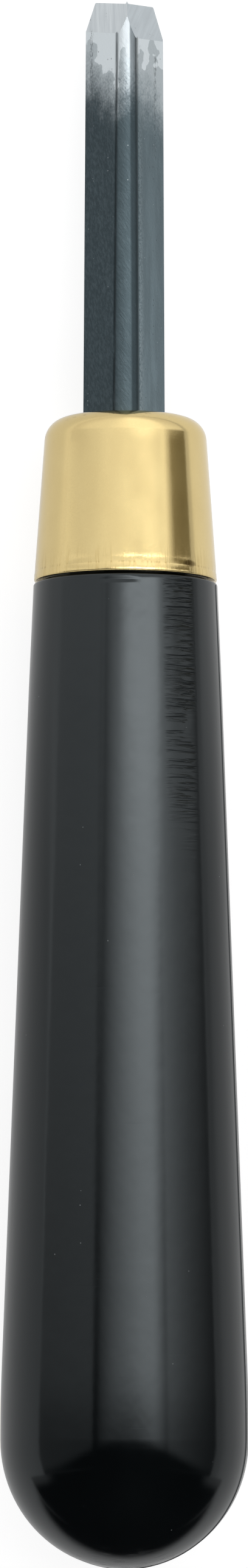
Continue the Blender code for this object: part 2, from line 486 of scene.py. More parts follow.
handle = {
    "buttRadius": 12.0,
    "buttLength": 12.35,
    "heel": 5.0,  # over this length the ball eases into the taper
    "seat": 95.5,
    "shoulderRadius": 9.0,
    "shoulderRound": 0.25,
    "belly": 0.05,  # swell of the side over a straight taper
    "bellyFoot": (12.0, 20.0),
    "bellyTop": (84.0, 96.0),
    "neckGap": 0.1,
    "gateRadius": 0.5,
    "gateHeight": 0.12,
    "gateFlat": 0.75,  # share of its radius that is flat
    "gateShoulder": 0.6,  # share of its height where it is full width
    "gateFoot": 1.1,  # its foot on the ball, over its radius
    "partingAzimuth": math.radians(73),
    "partingWidth": 0.12,
    "partingRidge": 0.07,
    "partingSlack": 0.004,
    "partingTop": 0.3,  # the ridge ends this far below the seat
    "partingFoot": 0.6,  # and starts this far from the gate's middle
    "socketGap": 0.15,
    "socketDepth": 0.3,  # below the tang's end
    "sides": 144,
    "buttSteps": 26,
    "sideSteps": 40,
    "sideSpacing": 1.6,  # the steps are closer towards the butt
    "shoulderSteps": 8,
    "sharpAngle": 40,
}


def sideRadius(height):
    butt, heel = handle["buttRadius"], handle["heel"]
    up = height - handle["buttLength"]
    slope = (butt - handle["shoulderRadius"]) / (handle["seat"] - handle["buttLength"] - heel / 2)
    straight = butt - slope * (up * up / (2 * heel) if up < heel else up - heel / 2)
    swell = ease(height, *handle["bellyFoot"]) * (1 - ease(height, *handle["bellyTop"]))
    return straight + handle["belly"] * swell


def handleProfile():
    gate = handle["gateRadius"]
    gateEnd = -handle["gateHeight"]
    points = [(0, gateEnd), (handle["gateFlat"] * gate, gateEnd), (gate, handle["gateShoulder"] * gateEnd)]
    start = math.asin(handle["gateFoot"] * gate / handle["buttRadius"])
    for i in range(handle["buttSteps"] + 1):
        turn = start + (math.pi / 2 - start) * i / handle["buttSteps"]
        points.append((handle["buttRadius"] * math.sin(turn), handle["buttLength"] * (1 - math.cos(turn))))
    low = points[-1][1]
    high = handle["seat"] - 2 * handle["shoulderRound"]
    for i in range(1, handle["sideSteps"] + 1):
        height = low + (high - low) * (i / handle["sideSteps"]) ** handle["sideSpacing"]
        points.append((sideRadius(height), height))
    neckInset = ferrule["wall"] + handle["neckGap"]
    neckFoot = (flankRadius(handle["seat"], neckInset), handle["seat"])
    points += roundedCorner(points[-1], (handle["shoulderRadius"], handle["seat"]), neckFoot,
                            handle["shoulderRound"], handle["shoulderSteps"])
    points.append(neckFoot)
    points += cupProfile(neckInset, handle["seat"])[::-1]
    return points


plastic = {
    "deep": (0.0008, 0.0012, 0.0014),
    "hazy": (0.0018, 0.0026, 0.0030),
    "dust": (0.30, 0.32, 0.32),
    "scuffed": (0.030, 0.033, 0.034),
    "sheen": (0.90, 1.0, 1.04),  # its highlights are a little cold
    "refraction": 1.5,
    "roughness": 0.075,
    # grains: waves per millimetre, detail, roughness; marks also where they begin and where they are full
    "haze": ((0.3, 0.3, 0.07), 3.0),
    "peel": ((0.5, 0.5, 0.35), 2.0),
    "fine": ((9.0, 9.0, 9.0), 2.0),
    "patches": ((0.25, 0.25, 0.12), 1.0, 0.5, 0.34, 0.52),
    "strokes": ((0.16, 0.16, 2.2), 2.0, 0.6, 0.42, 0.62),
    "hairs": ((0.10, 0.10, 3.2), 2.0, 0.5, 0.66, 0.74),
    "scuffs": ((0.35, 1.6, 1.6), 4.0, 0.7, 0.52, 0.66),
    "dustSpecks": (0.8, 0.07, 0.4),
    "scuffedEnd": (0.3, 2.6),
    # places: up the handle in millimetres, and round it in radians from the keel to the right
    "rubbedUp": (66.0, 87.0),
    "rubbedRound": (0.37, 0.70, 0.05),
    "sunkUp": (94.75, 95.05, 0.25),
    "sunkRound": (-0.30, 0.02, 0.10),
}


def blackMoulding():
    material, tree, shader = newFinish("blackMoulding")
    coords, x, y, s = toolCoords(tree)
    around = calc(tree, "ARCTAN2", x, calc(tree, "MULTIPLY", y, -1.0))
    haze, peel, fine = patterns(tree, coords, grain, plastic, "haze", "peel", "fine")
    patches, strokes = patterns(tree, coords, peaks, plastic, "patches", "strokes")
    hairs, scuffs = patterns(tree, coords, peaks, plastic, "hairs", "scuffs")
    rubbed = both(tree, band(tree, around, *plastic["rubbedRound"]), fade(tree, s, *plastic["rubbedUp"]))
    scratches = both(tree, strokes, rubbed, patches)
    sunk = both(tree, band(tree, s, *plastic["sunkUp"]), band(tree, around, *plastic["sunkRound"]))
    dust = specks(tree, coords, *plastic["dustSpecks"])
    scuffs = both(tree, scuffs, fadeOut(tree, s, *plastic["scuffedEnd"]))
    colour = blend(tree, haze, plastic["deep"], plastic["hazy"])
    colour = paint(tree, colour, (dust, 0.4, plastic["dust"]), (scuffs, 0.5, plastic["scuffed"]))
    roughness = addUp(tree, plastic["roughness"], (haze, 0.07), (fine, 0.03), (scratches, 0.03),
                      (hairs, 0.03), (dust, 0.4), (scuffs, 0.25))
    height = addUp(tree, 0.0, (peel, 0.010), (fine, 0.0002), (scratches, -0.030), (hairs, -0.0006),
                   (dust, 0.01), (scuffs, -0.006), (sunk, -0.020))
    shader.inputs["IOR"].default_value = plastic["refraction"]
    shader.inputs["Specular Tint"].default_value = (*plastic["sheen"], 1)
    finishSurface(tree, shader, colour, roughness, height)
    return material


def makeHandle():
    piece = startPiece("moulded_handle")
    azimuth = handle["partingAzimuth"]
    turnOnLathe(handleProfile(), azimuth, handle["sides"])
    offPlane = Vector((math.cos(azimuth), math.sin(azimuth), 0))  # square to the mould's parting plane

    def onParting(v):
        inPlane = abs(v.co.dot(offPlane)) < handle["partingSlack"]
        below = v.co.z < handle["seat"] - handle["partingTop"]
        return inPlane and below and v.co.xy.length > handle["partingFoot"]

    pick(piece, "EDGE", lambda e: all(onParting(v) for v in e.verts))
    soften(handle["partingWidth"])
    pick(piece, "VERT", onParting)
    bpy.ops.transform.shrink_fatten(value=handle["partingRidge"])
    bpy.ops.object.mode_set(mode="OBJECT")
    cutSlot(piece, blade["tang"] - handle["socketDepth"], handle["socketGap"])
    layOnBench(piece, blackMoulding(), "handle", handle["sharpAngle"])


# ferrule

def ferruleProfile():
    rim = ferrule["rim"]
    bandTop = rim + ferrule["bandHeight"]
    grooveTop = bandTop + ferrule["grooveHeight"]
    points = cupProfile(0, rim)
    start = points[-1][1]
    for i in range(1, ferrule["flankSteps"] + 1):
        height = start + (grooveTop + ferrule["aboveGroove"] - start) * i / ferrule["flankSteps"]
        points.append((flankRadius(height), height))
    points.append((flankRadius(grooveTop), grooveTop))
    inGroove, onBand = bandTop + ferrule["grooveEdge"], bandTop - ferrule["grooveEdge"]
    points.append((flankRadius(inGroove) - ferrule["grooveDepth"], inGroove))
    points.append((flankRadius(onBand), onBand))
    bandFoot = rim + ferrule["bandFoot"]
    points.append((flankRadius(bandFoot), bandFoot))
    corner = (flankRadius(rim), rim)
    inner = (flankRadius(rim, ferrule["wall"]), rim)
    points += roundedCorner(points[-1], corner, inner, ferrule["rimRound"], ferrule["rimSteps"])
    points.append(inner)
    points += cupProfile(ferrule["wall"], rim)[::-1]
    return points


brass = {
    "dull": (0.71, 0.555, 0.26),
    "bright": (0.80, 0.64, 0.315),
    "speckled": (0.55, 0.40, 0.17),
    "dragged": (0.58, 0.42, 0.16),
    "grimy": (0.36, 0.24, 0.08),
    "smeared": (0.30, 0.21, 0.09),
    "nicked": (0.18, 0.12, 0.045),
    "roughness": 0.05,
    "mottle": ((0.35, 0.35, 0.25), 3.0),
    "speckle": ((8.0, 8.0, 6.0), 3.0, 0.6),
    "facets": ((1.6, 1.6, 0.3), 2.0),
    "drags": ((3.2, 3.2, 0.22), 3.0, 0.6, 0.48, 0.66),
    "smears": ((1.1, 1.1, 5.0), 3.0, 0.6, 0.58, 0.72),
    "smearsUp": (110.6, 111.6),
    # above the crimped band
    "dragsEnd": (0.2, 2.4),
    "facetsEnd": (-0.05, 0.12),
    "grimeUp": (0.04, 0.2),
    "grimeSoft": 0.08,
    # one nick where the band was rolled in: to the right and above the band, how tight it is each way
    "nickAt": (5.75, 0.25),
    "nickTight": (1.6, 3.0),
    "nickEdge": (0.2, 1.6),
    "nickFront": (-1.0, 0.0),
}


def satinBrass():
    material, tree, shader = newFinish("satinBrass")
    coords, x, y, s = toolCoords(tree)
    bandTop = ferrule["rim"] + ferrule["bandHeight"]

    def above(name):  # two heights over the band, as heights on the tool
        return [bandTop + value for value in brass[name]]

    mottle, speckle, facets = patterns(tree, coords, grain, brass, "mottle", "speckle", "facets")
    drags, smears = patterns(tree, coords, peaks, brass, "drags", "smears")
    dragged = both(tree, drags, fadeOut(tree, s, *above("dragsEnd")))
    facets = both(tree, facets, fadeOut(tree, s, *above("facetsEnd")))
    grime = both(tree, band(tree, s, *above("grimeUp"), brass["grimeSoft"]), drags)
    nickRight, nickUp = brass["nickAt"][0], bandTop + brass["nickAt"][1]
    tightX, tightS = brass["nickTight"]
    nickX = calc(tree, "MULTIPLY_ADD", x, tightX, -tightX * nickRight)
    nickS = calc(tree, "MULTIPLY_ADD", s, tightS, -tightS * nickUp)
    nick = calc(tree, "ADD", both(tree, nickX, nickX), both(tree, nickS, nickS))
    nick = both(tree, fadeOut(tree, nick, *brass["nickEdge"]),
                fadeOut(tree, y, *brass["nickFront"]))
    smeared = both(tree, smears, fade(tree, s, *brass["smearsUp"]))
    colour = blend(tree, mottle, brass["dull"], brass["bright"])
    colour = paint(tree, colour, (speckle, 0.30, brass["speckled"]), (dragged, 0.40, brass["dragged"]),
                   (grime, 0.45, brass["grimy"]), (smeared, 0.5, brass["smeared"]),
                   (nick, 0.85, brass["nicked"]))
    roughness = addUp(tree, brass["roughness"], (speckle, 0.09), (mottle, 0.04), (dragged, 0.06),
                      (smeared, 0.10))
    height = addUp(tree, 0.0, (speckle, 0.0022), (dragged, 0.004), (facets, 0.02), (smeared, -0.003))
    shader.inputs["Metallic"].default_value = 1.0
    finishSurface(tree, shader, colour, roughness, height)
    return material


def makeFerrule():
    piece = startPiece("brass_ferrule")
    turnOnLathe(ferruleProfile(), math.pi / ferrule["sides"], ferrule["sides"])
    bandTop = ferrule["rim"] + ferrule["bandHeight"]

    def onCrimp(v):  # the band's upper edge, pinched a little unevenly
        skin = flankRadius(bandTop, ferrule["crimpSkin"])
        return abs(v.co.z - bandTop) < ferrule["crimpReach"] and v.co.xy.length > skin

    pick(piece, "VERT", onCrimp)
    bpy.ops.transform.vertex_random(offset=ferrule["crimpDepth"], uniform=0.0, normal=1.0,
                                    seed=ferrule["crimpSeed"])
    bpy.ops.object.mode_set(mode="OBJECT")
    cutSlot(piece, ferrule["crown"] - ferrule["slotDepth"], ferrule["slotGap"])
    layOnBench(piece, satinBrass(), "ferrule", ferrule["sharpAngle"])


# blade

def bevelPlane(side, bevelLength, rake):  # through the inner face's cutting edge, back to the outer face
    half = blade["halfAngle"]
    outward = Vector((side * math.cos(half), -math.sin(half), 0))
    along = Vector((side * math.sin(half), math.cos(half), 0))
    x, n = wingPoint(blade["edge"], 0, blade["sheet"])
    edgePoint = Vector((side * x, -n, blade["edge"]))
    edgeLine = (along * blade["tipWing"] + Vector((0, 0, rake))).normalized()
    backLine = (outward * blade["sheet"] - Vector((0, 0, bevelLength))).normalized()
    normal = edgeLine.cross(backLine).normalized()
    if normal.dot(outward) < 0:
        normal.negate()
    return edgePoint, normal


def roundTipCorners(side, rake):
    radius = blade["cornerRound"]
    half = blade["halfAngle"]
    along = Vector((side * math.sin(half), math.cos(half), 0))
    up = Vector((0, 0, 1))
    x, n = wingPoint(blade["edge"], blade["tipWing"] - blade["tipTrim"] - radius, blade["sheet"])
    centre = Vector((side * x, -n, blade["edge"] + rake - radius))
    for degrees in blade["cornerTurns"]:
        turn = math.radians(degrees)
        normal = along * math.cos(turn) + up * math.sin(turn)
        trimPast(centre + normal * radius, normal)


steel = {
    "leftBlued": (0.033, 0.048, 0.056),
    "keelBlued": (0.088, 0.120, 0.134),
    "rightBlued": ((0.205, 0.273, 0.305), (0.155, 0.208, 0.232)),  # by the ferrule, and further out
    "clean": (0.69, 0.745, 0.775),
    "ground": (0.70, 0.745, 0.77),
    # painted shade: the right ground facet is painted darker than the left one
    "rightGround": (0.51, 0.565, 0.60),
    # painted shade for the clean keel's crest
    "crest": (0.36, 0.39, 0.41),
    "stained": (0.46, 0.51, 0.535),
    "pitted": (0.13, 0.177, 0.198),
    "hatched": (0.17, 0.22, 0.245),
    "tarnished": (0.045, 0.063, 0.072),
    "fleck": (0.55, 0.60, 0.62),
    "pit": (0.05, 0.06, 0.065),
    "dots": (0.07, 0.088, 0.098),
    # painted shade for the crease at the keel's left foot
    "creaseShade": (0.022, 0.030, 0.034),
    "shade": (0.030, 0.042, 0.048),
    "strip": (0.34, 0.41, 0.44),
    "grinding": (0.44, 0.48, 0.51),
    "roughness": 0.24,
    "ragged": ((0.62, 0.62, 0.50), 3.0, 0.5),
    "pitting": ((5.0, 5.0, 4.0), 3.0, 0.6),
    "streaks": ((3.0, 3.0, 0.35), 2.0),
    "tarnish": ((0.7, 0.7, 0.13), 4.0, 0.6, 0.35, 0.65),
    "hatch": ((4.0, 4.0, 0.7), 3.0, 0.65, 0.40, 0.66),
    "hatchSlant": 35,
    "dotted": ((5.0, 5.0, 2.2), 3.0, 0.7, 0.46, 0.60),
    "marks": ((2.8, 0.20, 0.10), 3.0, 0.65, 0.32, 0.68),
    "markSlants": (0.0, -22),  # along the blade on the left facet, slanting on the right one
    "fleckSpecks": (2.2, 0.06, 0.16),
    "pitSpecks": (2.6, 0.09, 0.25),
    # across the blade, in millimetres from the keel
    "brightLean": -0.22,  # the right wing is bright a little further back
    "leftLean": (-3.6, -1.1, 0.9, -1.5),
    "leftLeanEnd": (-1.0, -0.6),
    "rightLean": (2.2, 3.9),
    "rightStain": (1.8, 2.6),
    "leftToKeel": (-1.5, -0.7),
    "keelToRight": (0.95, 1.25),
    "crestShadeAcross": (-0.25, 1.0, 0.25),
    "rightSide": (-0.3, 0.3),
    "rows": (-3.3, 2.95),
    "rowWidth": (0.03, 0.20),
    # back from the cutting edge
    "stainFrom": (5.5, 5.8),
    "blueFrom": (5.6, 12.4),
    "rowsBack": (3.6, 14.0, 0.3),
    "roughBack": (5.0, 9.0, 0.002, 0.020),
    # out from the keel's foot: painted shade along the crease on the left, painted shade and a rubbed strip
    # on the right
    "creaseShadeOut": (-0.12, 0.08, 0.12),
    "creaseShadeBreaks": (0.1, 0.5),
    "shadeOut": (-0.78, -0.03, 0.12),
    "stripStart": (-0.03, 0.06),
    "stripEnd": (0.10, 0.75),
    "stripBreaks": (0.38, 0.6),
    # up from the butt
    "stripUp": (118.0, 142.0, 1.0, 0.5),
    "rightBluedUp": (114.0, 140.0),
}


def bluedSteel():
    material, tree, shader = newFinish("bluedSteel")
    coords, x, _, s = toolCoords(tree)
    grounds = [addNode(tree, "ShaderNodeAttribute", {}, attribute_name=name).outputs["Fac"]
               for name in ("leftGround", "rightGround")]
    ground = calc(tree, "MAXIMUM", *grounds)
    offGround = calc(tree, "SUBTRACT", 1.0, ground)
    back = calc(tree, "MULTIPLY_ADD", s, -1.0, blade["edge"])
    back = calc(tree, "MULTIPLY_ADD", x, steel["brightLean"], back)
    leftLean = both(tree, fade(tree, x, *steel["leftLean"]), fadeOut(tree, x, *steel["leftLeanEnd"]))
    back = addUp(tree, back, (leftLean, 1.0), (fade(tree, x, *steel["rightLean"]), -1.0))
    ragged, pitting, streaks = patterns(tree, coords, grain, steel, "ragged", "pitting", "streaks")
    tarnish, dotted = patterns(tree, coords, peaks, steel, "tarnish", "dotted")
    ragged = calc(tree, "SUBTRACT", ragged, 0.5)
    hatch = peaks(tree, slanted(tree, coords, steel["hatchSlant"]), *steel["hatch"])
    # stains and the blue both begin along a ragged line behind the bright tip
    stained = addUp(tree, back, (ragged, 9.0), (leftLean, 0.8), (fade(tree, x, *steel["rightStain"]), 1.8))
    stain = both(tree, fade(tree, stained, *steel["stainFrom"]), offGround)
    spread = addUp(tree, back, (ragged, 5.0), (calc(tree, "SUBTRACT", pitting, 0.5), 3.5))
    blue = both(tree, fade(tree, spread, *steel["blueFrom"]), offGround)
    flecks = both(tree, specks(tree, coords, *steel["fleckSpecks"]), blue)
    pits = specks(tree, coords, *steel["pitSpecks"])
    offRows = [calc(tree, "ABSOLUTE", calc(tree, "SUBTRACT", x, at)) for at in steel["rows"]]
    row = fadeOut(tree, calc(tree, "MINIMUM", *offRows), *steel["rowWidth"])
    row = both(tree, row, dotted, band(tree, back, *steel["rowsBack"]))
    # the keel's foot on the wings moves in towards the tip
    slope = (blade["tipKeelRadius"] - blade["tangKeelRadius"]) / blade["taperLength"]
    foot = wingPoint(0, blade["crease"][0], 0)[0]
    offFoot = calc(tree, "SUBTRACT", calc(tree, "ABSOLUTE", x), foot)
    offFoot = calc(tree, "MULTIPLY_ADD", s, -slope * math.cos(blade["halfAngle"]), offFoot)
    onRight = fade(tree, x, *steel["rightSide"])
    onLeft = calc(tree, "SUBTRACT", 1.0, onRight)
    # painted shade: a dark, broken line along the crease at the keel's left foot
    creaseShade = both(tree, band(tree, offFoot, *steel["creaseShadeOut"]), onLeft,
                fade(tree, streaks, *steel["creaseShadeBreaks"]), offGround)
    shade = both(tree, band(tree, offFoot, *steel["shadeOut"]), onRight, offGround)
    strip = both(tree, fade(tree, offFoot, *steel["stripStart"]),
                 fadeOut(tree, offFoot, *steel["stripEnd"]), onRight, blue)
    strip = both(tree, strip, fade(tree, pitting, *steel["stripBreaks"]), fade(tree, s, *steel["stripUp"]))
    marks = [both(tree, peaks(tree, slanted(tree, coords, slant), *steel["marks"]), facet)
             for facet, slant in zip(grounds, steel["markSlants"])]
    grinding = calc(tree, "ADD", *marks)
    blued = blend(tree, fade(tree, x, *steel["leftToKeel"]), steel["leftBlued"], steel["keelBlued"])
    rightBlued = blend(tree, fade(tree, s, *steel["rightBluedUp"]), *steel["rightBlued"])
    blued = blend(tree, fade(tree, x, *steel["keelToRight"]), blued, rightBlued)
    clean = blend(tree, ground, steel["clean"], steel["ground"])
    # painted shade: the clean steel on the keel's crest is painted darker, to hold down its highlight
    crest = both(tree, band(tree, x, *steel["crestShadeAcross"]), offGround)
    # painted shade on the right ground facet
    clean = paint(tree, clean, (grounds[1], 0.7, steel["rightGround"]), (crest, 0.66, steel["crest"]))
    colour = blend(tree, stain, clean, steel["stained"])
    colour = blend(tree, blue, colour, blued)
    colour = paint(tree, colour, (both(tree, pitting, blue), 0.30, steel["pitted"]),
                   (both(tree, hatch, blue), 0.22, steel["hatched"]),
                   (both(tree, tarnish, blue), 0.25, steel["tarnished"]),
                   (flecks, 0.5, steel["fleck"]), (pits, 0.45, steel["pit"]), (row, 0.55, steel["dots"]),
                   (creaseShade, 0.85, steel["creaseShade"]), (shade, 0.77, steel["shade"]),
                   (strip, 0.6, steel["strip"]), (grinding, 0.45, steel["grinding"]))
    roughness = addUp(tree, steel["roughness"], (blue, 0.17), (pitting, 0.10), (streaks, 0.05),
                      (ground, 0.05), (creaseShade, 0.2))
    rough = both(tree, pitting, fade(tree, back, *steel["roughBack"]), offGround)
    height = addUp(tree, rough, (both(tree, hatch, offGround), 0.006), (row, -0.03), (pits, -0.02),
                   (grinding, 0.006), (stain, -0.004))
    shader.inputs["Metallic"].default_value = 1.0
    finishSurface(tree, shader, colour, roughness, height)
    return material


def makeBlade():
    piece = startPiece("v_blade")
    low, high = blade["tang"], blade["edge"] + blade["spareLength"]
    loft(piece, low, bladeSection(low), high, bladeSection(high), blade["lengthCuts"])

    def onArris(v, inwards):
        return abs(abs(v.co.x) - wingPoint(v.co.z, wingLength(v.co.z), inwards)[0]) < weldGap

    def longEdge(e):  # the four arrises of the two wings
        if abs(e.verts[0].co.z - e.verts[1].co.z) <= blade["arrisLength"]:
            return False
        return any(all(onArris(v, inwards) for v in e.verts) for inwards in (0, blade["sheet"]))

    pick(piece, "EDGE", longEdge)
    soften(blade["edgeSoftening"], 3)
    planes = {
        "leftGround": bevelPlane(-1, blade["leftBevel"], blade["leftRake"]),
        "rightGround": bevelPlane(1, blade["rightBevel"], blade["rightRake"]),
    }
    for point, normal in planes.values():
        trimPast(point, normal)
    roundTipCorners(-1, blade["leftRake"])
    roundTipCorners(1, blade["rightRake"])
    tidyShell()
    square, near = blade["facetFit"]
    for name, (point, normal) in planes.items():
        bpy.ops.mesh.select_all(action="DESELECT")
        bpy.ops.object.mode_set(mode="OBJECT")
        bpy.ops.geometry.attribute_add(name=name, domain="FACE", data_type="FLOAT")
        bpy.ops.object.mode_set(mode="EDIT")
        piece.data.attributes.active = piece.data.attributes[name]
        found = pick(piece, "FACE", lambda f: f.normal.dot(normal) > square
                     and abs((f.calc_center_median() - point).dot(normal)) < near)
        bpy.ops.mesh.attribute_set(value_float=1.0)
        print("ground facet", name, found, "faces")
    bpy.ops.object.mode_set(mode="OBJECT")
    layOnBench(piece, bluedSteel(), "blade", blade["sharpAngle"])


# wedge

wedge = {
    "length": 28.0,
    "recess": 0.15,  # below the crown
    "nose": 0.6,
    "taper": 0.5,  # how much thinner its inner end is
    "gap": 0.06,
    "backGap": 0.3,  # round the wings' ends, and from there to its back
    "softening": 0.12,
    "softenOver": math.radians(50),
    "lengthCuts": 6,
    "sharpAngle": 30,
}


def wedgeSection(height, thinner):
    radius = keelRadius(height)
    half = blade["halfAngle"]
    face = radius - blade["sheet"] - wedge["gap"]
    middle = blade["keelHeight"] - radius
    noseMiddle = middle + (face - wedge["nose"]) / math.sin(half)
    gap = wedge["backGap"]
    backFace = wingPoint(height, wingLength(height) + gap, blade["sheet"] + gap)[1] + gap + thinner
    right = keelArc(wedge["nose"], noseMiddle)
    right.append(((face - (backFace - middle) * math.sin(half)) / math.cos(half), backFace))
    return bothHalves(right)


beech = {
    "pale": (0.60, 0.42, 0.25),
    "late": (0.45, 0.29, 0.155),
    "ray": (0.36, 0.21, 0.10),
    "pore": (0.25, 0.15, 0.08),
    "endGrain": (0.30, 0.19, 0.10),
    "rings": {"Scale": 0.55, "Distortion": 2.5, "Detail": 2.0},
    "rays": ((5.0, 5.0, 0.6), 2.0, 0.5, 0.60, 0.72),
    "pores": ((12.0, 12.0, 1.2), 2.0, 0.5, 0.60, 0.70),
    "endGrainUp": (-0.2, -0.05),  # from the crown
    "roughness": (0.55, 0.68),
    "poreDepth": 0.03,
}


def bareBeech():
    material, tree, shader = newFinish("bareBeech")
    coords, _, _, s = toolCoords(tree)
    rings = addNode(tree, "ShaderNodeTexWave", {"Vector": coords, **beech["rings"]}, bands_direction="X")
    rings = rings.outputs["Fac"]
    rays, pores = patterns(tree, coords, peaks, beech, "rays", "pores")
    endGrain = fade(tree, s, *[ferrule["crown"] + value for value in beech["endGrainUp"]])
    colour = blend(tree, rings, beech["pale"], beech["late"])
    colour = paint(tree, colour, (rays, 0.5, beech["ray"]), (pores, 0.5, beech["pore"]),
                   (endGrain, 0.35, beech["endGrain"]))
    roughness = fade(tree, rings, 0.0, 1.0, *beech["roughness"])
    height = calc(tree, "MULTIPLY", pores, -beech["poreDepth"])
    finishSurface(tree, shader, colour, roughness, height)
    return material


def makeWedge():
    piece = startPiece("beech_wedge")
    low, high = ferrule["crown"] - wedge["length"], ferrule["crown"] - wedge["recess"]
    loft(piece, low, wedgeSection(low, wedge["taper"]), high, wedgeSection(high, 0), wedge["lengthCuts"])
    pick(piece, "EDGE", lambda e: e.calc_face_angle(0) > wedge["softenOver"])
    soften(wedge["softening"])
    tidyShell()
    bpy.ops.object.mode_set(mode="OBJECT")
    layOnBench(piece, bareBeech(), "tang_wedge", wedge["sharpAngle"])


# a black hood past the butt, which only reflections show

hood = {
    "size": (0.060, 0.110, 0.080),
    "mouth": -0.0877,
    "dark": 0.015,
    "rimGlow": 0.30,  # it is lit just inside, low down
    "rimDepth": 0.11,  # as a share of its depth
    "rimTop": (0.2, 0.45),  # as shares of its height
    "segments": 64,
    "rings": 32,
}


def stageFinish(name):  # no shader yet, with the place on the sheet or shell
    material, tree, shader = newFinish(name)
    tree.nodes.remove(shader)
    coords = addNode(tree, "ShaderNodeTexCoord", {})
    split = addNode(tree, "ShaderNodeSeparateXYZ", {"Vector": coords.outputs["Object"]})
    return material, tree, split.outputs


def makeHood():
    bpy.ops.object.select_all(action="DESELECT")
    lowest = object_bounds()[0][2]
    bpy.ops.mesh.primitive_uv_sphere_add(segments=hood["segments"], ring_count=hood["rings"],
                                         location=(0, hood["mouth"], lowest), scale=hood["size"])
    shell = bpy.context.object
    shell.name = "hood"
    bpy.ops.object.mode_set(mode="EDIT")
    pick(shell, "FACE", lambda f: f.calc_center_median().y > 0)
    bpy.ops.mesh.delete(type="FACE")
    bpy.ops.object.mode_set(mode="OBJECT")
    material, tree, place = stageFinish("blackHood")
    _, deep, tall = hood["size"]
    rimTop = [share * tall for share in hood["rimTop"]]
    rim = both(tree, fade(tree, place["Y"], -hood["rimDepth"] * deep, 0.0),
               fadeOut(tree, place["Z"], *rimTop))
    strength = fade(tree, rim, 0.0, 1.0, hood["dark"], hood["rimGlow"])
    black = addNode(tree, "ShaderNodeEmission", {"Strength": strength})
    tree.links.new(black.outputs[0], tree.nodes["Material Output"].inputs["Surface"])
    shell.data.materials.append(material)
    shell.visible_camera = False
    shell.visible_diffuse = False
    shell.visible_shadow = False
    shell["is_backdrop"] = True


# floor

floor = {
    "size": 14.0,
    "colour": (0.80, 0.80, 0.80),
    "whiteGlow": 0.82,
    "whiteColour": (0.28, 0.28, 0.28),
    # what reflections show of it: places across (x) and along (y), in metres
    "besideHandle": 0.37,
    "besideBrass": 0.545,
    "brassFrom": (-0.005, 0.026),
    "farLeft": (-0.12, -0.03),
    "farLeftShare": 1.22,
    "nearRight": (-0.01, 0.02),
    "nearRightGlow": 0.095,
    "farRight": (0.07, 0.16),
    "farRightShare": 0.56,
    "darkEnd": (-0.109, -0.088),  # under the hood it goes dark
    "besideHood": (0.8, 1.1),  # and lit again out here, as shares of the hood's half width
}


def makeFloor():
    bpy.ops.object.select_all(action="DESELECT")
    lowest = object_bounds()[0][2]
    bpy.ops.mesh.primitive_plane_add(size=floor["size"], location=(0, 0, lowest))
    sheet = bpy.context.object
    sheet.name = "floor"
    material, tree, place = stageFinish("paleFloor")
    x, y = place["X"], place["Y"]
    # white where the camera sees it, with the tool's shadow left on it, and less bright in reflections
    besideHood = [share * hood["size"][0] for share in floor["besideHood"]]
    beside = fade(tree, calc(tree, "ABSOLUTE", x), *besideHood)
    lit = calc(tree, "MAXIMUM", fade(tree, y, *floor["darkEnd"]), beside)
    path = addNode(tree, "ShaderNodeLightPath", {})
    inReflection = path.outputs["Is Glossy Ray"]
    dark = both(tree, inReflection, calc(tree, "SUBTRACT", 1.0, lit))
    seenColour = blend(tree, dark, floor["whiteColour"], (0, 0, 0))
    dim = addNode(tree, "ShaderNodeBsdfDiffuse", {"Color": seenColour})
    brassGlow = floor["besideBrass"]
    brassGlow = fade(tree, x, *floor["farLeft"], floor["farLeftShare"] * brassGlow, brassGlow)
    nearRight = fade(tree, x, *floor["nearRight"], 0.0, floor["nearRightGlow"])
    brassGlow = calc(tree, "ADD", brassGlow, nearRight)
    glowing = fade(tree, y, *floor["brassFrom"], floor["besideHandle"], brassGlow)
    glowing = both(tree, glowing, fade(tree, x, *floor["farRight"], 1.0, floor["farRightShare"]))
    strength = fade(tree, lit, 0.0, 1.0, hood["dark"], glowing)
    strength = addNode(tree, "ShaderNodeMix", {0: inReflection, 2: floor["whiteGlow"], 3: strength})
    glow = addNode(tree, "ShaderNodeEmission", {"Strength": strength.outputs[0]})
    white = addNode(tree, "ShaderNodeAddShader", {0: dim.outputs[0], 1: glow.outputs[0]})
    plain = addNode(tree, "ShaderNodeBsdfDiffuse", {"Color": (*floor["colour"], 1)})
    seen = calc(tree, "MAXIMUM", path.outputs["Is Camera Ray"], inReflection)
    seen = calc(tree, "MAXIMUM", seen, path.outputs["Is Transmission Ray"])
    mix = addNode(tree, "ShaderNodeMixShader", {0: seen, 1: plain.outputs[0], 2: white.outputs[0]})
    tree.links.new(mix.outputs[0], tree.nodes["Material Output"].inputs["Surface"])
    sheet.data.materials.append(material)
    sheet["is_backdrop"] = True


# light: a room of soft panels round the tool

